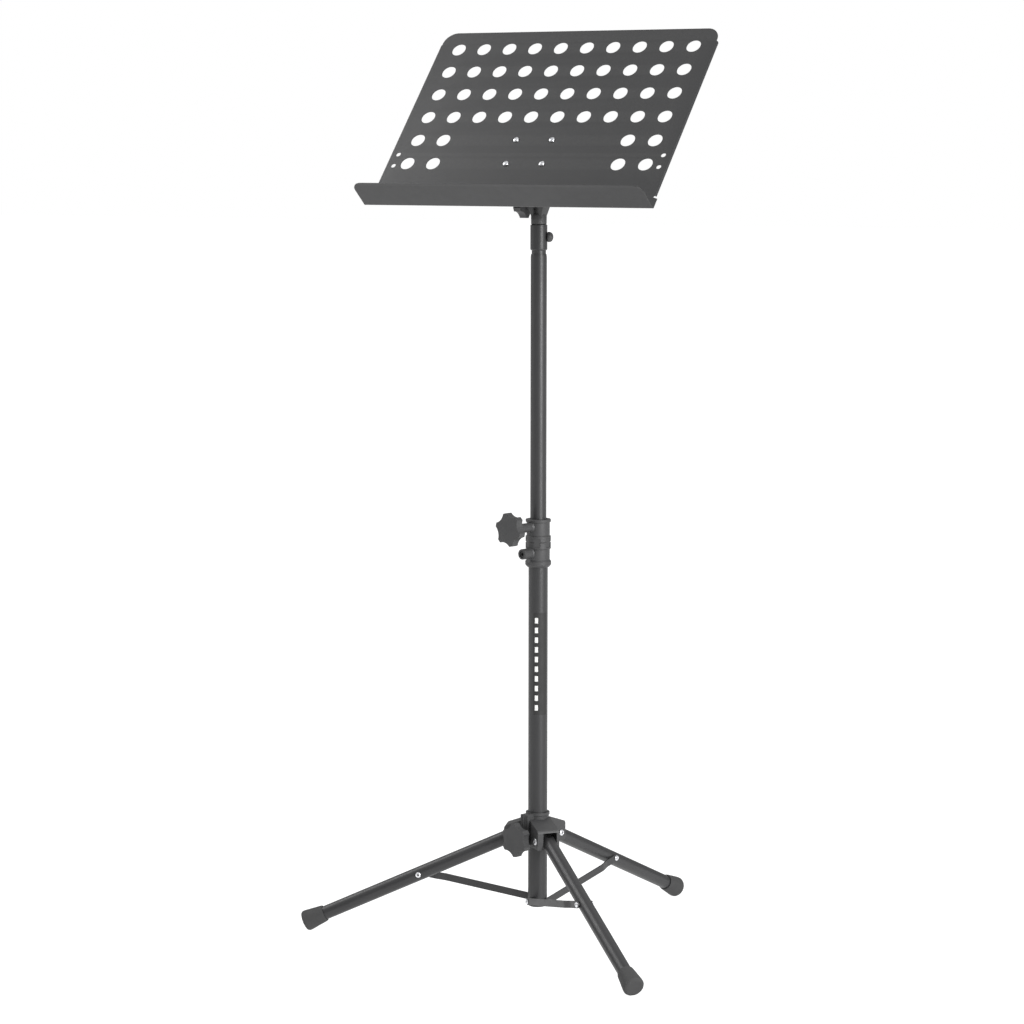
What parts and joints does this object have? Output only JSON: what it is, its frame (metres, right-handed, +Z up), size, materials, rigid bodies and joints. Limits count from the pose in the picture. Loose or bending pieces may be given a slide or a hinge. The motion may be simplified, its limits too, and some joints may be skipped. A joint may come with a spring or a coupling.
{
  "type": "music stand",
  "caption": "Free-standing music stand: tilting perforated desk with a shelf, telescopic column clamped by star knobs and a folding tripod base.",
  "frame": {"origin": "middle of the base, on the floor under the feet's bounding box", "axes": "+Z up along the column; -Y towards the player, who faces the desk; +X to the right of someone looking at the desk"},
  "size_m": [0.6572, 0.6142, 1.4142],
  "materials": {
    "powder_coat": "satin dark grey powder coat on steel sheet and tube",
    "moulding": "matt dark grey moulded nylon",
    "rubber": "matt dark rubber",
    "zinc": "bright zinc plate"
  },
  "bodies": {
    "column": {"lower_tube": "powder_coat", "column_end_plug": "moulding", "height_collar": "moulding", "collar_screw": "zinc", "brace_pivot_rivet_left": "zinc", "brace_pivot_rivet_front": "zinc", "brace_pivot_rivet_right": "zinc"},
    "mast_guide": {"mast_bush": "moulding"},
    "mast": {"upper_tube": "powder_coat", "mast_socket": "powder_coat"},
    "socket_screw": {"socket_thumbscrew": "moulding"},
    "height_clamp": {"height_knob": "moulding", "height_stud": "zinc"},
    "desk_head": {"desk_head": "moulding", "tilt_bolt": "zinc", "tilt_washer": "zinc"},
    "desk": {"desk_plate": "powder_coat", "tilt_bracket": "powder_coat", "tilt_spacer": "zinc", "desk_screw_1": "zinc", "desk_screw_2": "zinc", "desk_screw_3": "zinc", "desk_screw_4": "zinc", "desk_nut_1": "zinc", "desk_nut_2": "zinc", "desk_nut_3": "zinc", "desk_nut_4": "zinc"},
    "tilt_clamp": {"tilt_knob": "moulding"},
    "hub": {"leg_hub": "moulding", "leg_pivot_rivet_left": "zinc", "leg_pivot_rivet_front": "zinc", "leg_pivot_rivet_right": "zinc"},
    "hub_clamp": {"hub_knob": "moulding", "hub_stud": "zinc"},
    "leg_left": {"leg_tube_left": "powder_coat", "foot_cap_left": "rubber", "brace_leg_rivet_left": "zinc"},
    "brace_left": {"leg_brace_left": "powder_coat", "brace_rivet_head_left": "zinc"},
    "leg_front": {"leg_tube_front": "powder_coat", "foot_cap_front": "rubber", "brace_leg_rivet_front": "zinc"},
    "brace_front": {"leg_brace_front": "powder_coat", "brace_rivet_head_front": "zinc"},
    "leg_right": {"leg_tube_right": "powder_coat", "foot_cap_right": "rubber", "brace_leg_rivet_right": "zinc"},
    "brace_right": {"leg_brace_right": "powder_coat", "brace_rivet_head_right": "zinc"}
  },
  "joints": [
    {"name": "mast_slide", "type": "slide", "parent": "column", "child": "mast_guide", "axis": [0, 0, 1], "range_m": [-0.39, 0.04]},
    {"name": "mast_swivel", "type": "hinge", "parent": "mast_guide", "child": "mast", "pos_m": [0.02409, -0.06723, 0.6008], "axis": [0, 0, 1], "continuous": true},
    {"name": "desk_lift_off", "type": "slide", "parent": "mast", "child": "desk_head", "axis": [0, 0, 1], "range_m": [0, 0.04]},
    {"name": "desk_tilt", "type": "hinge", "parent": "desk_head", "child": "desk", "pos_m": [0.02409, -0.06723, 1.1524], "axis": [-1, 0, 0], "range_deg": [-40.8, 49.2]},
    {"name": "tilt_knob_turn", "type": "hinge", "parent": "desk_head", "child": "tilt_clamp", "pos_m": [0.02409, -0.06723, 1.1524], "axis": [-1, 0, 0], "range_deg": [0, 540]},
    {"name": "height_knob_turn", "type": "hinge", "parent": "column", "child": "height_clamp", "pos_m": [0.02409, -0.06723, 0.6513], "axis": [-0.2419, -0.9703, 0], "range_deg": [0, 540]},
    {"name": "socket_screw_turn", "type": "hinge", "parent": "mast", "child": "socket_screw", "pos_m": [0.02409, -0.06723, 1.0978], "axis": [0.9063, 0.4226, 0], "range_deg": [0, 540]},
    {"name": "hub_slide", "type": "slide", "parent": "column", "child": "hub", "axis": [0, 0, 1], "range_m": [0, 0.2453]},
    {"name": "hub_knob_turn", "type": "hinge", "parent": "hub", "child": "hub_clamp", "pos_m": [0.02409, -0.06723, 0.1643], "axis": [-0.2419, -0.9703, 0], "range_deg": [0, 540]},
    {"name": "leg_left_fold", "type": "hinge", "parent": "hub", "child": "leg_left", "pos_m": [-0.01374, -0.08252, 0.1638], "axis": [0.3746, -0.9272, 0], "range_deg": [0, 65.55]},
    {"name": "brace_left_fold", "type": "hinge", "parent": "column", "child": "brace_left", "pos_m": [0.02409, -0.06723, 0.0598], "axis": [-0.3746, 0.9272, 0], "range_deg": [0, 66.6]},
    {"name": "leg_front_fold", "type": "hinge", "parent": "hub", "child": "leg_front", "pos_m": [0.05637, -0.09218, 0.1638], "axis": [0.6115, 0.7912, 0], "range_deg": [0, 65.55]},
    {"name": "brace_front_fold", "type": "hinge", "parent": "column", "child": "brace_front", "pos_m": [0.02409, -0.06723, 0.0598], "axis": [-0.6115, -0.7912, 0], "range_deg": [0, 66.6]},
    {"name": "leg_right_fold", "type": "hinge", "parent": "hub", "child": "leg_right", "pos_m": [0.03005, -0.02687, 0.1638], "axis": [-0.9893, 0.1461, 0], "range_deg": [0, 65.55]},
    {"name": "brace_right_fold", "type": "hinge", "parent": "column", "child": "brace_right", "pos_m": [0.02409, -0.06723, 0.0598], "axis": [0.9893, -0.1461, 0], "range_deg": [0, 66.6]}
  ],
  "couplings": [
    {"joint": "leg_left_fold", "follows": "hub_slide", "rad_per_m": 4.6637},
    {"joint": "brace_left_fold", "follows": "hub_slide", "rad_per_m": 4.7381},
    {"joint": "leg_front_fold", "follows": "hub_slide", "rad_per_m": 4.6637},
    {"joint": "brace_front_fold", "follows": "hub_slide", "rad_per_m": 4.7381},
    {"joint": "leg_right_fold", "follows": "hub_slide", "rad_per_m": 4.6637},
    {"joint": "brace_right_fold", "follows": "hub_slide", "rad_per_m": 4.7381}
  ]
}
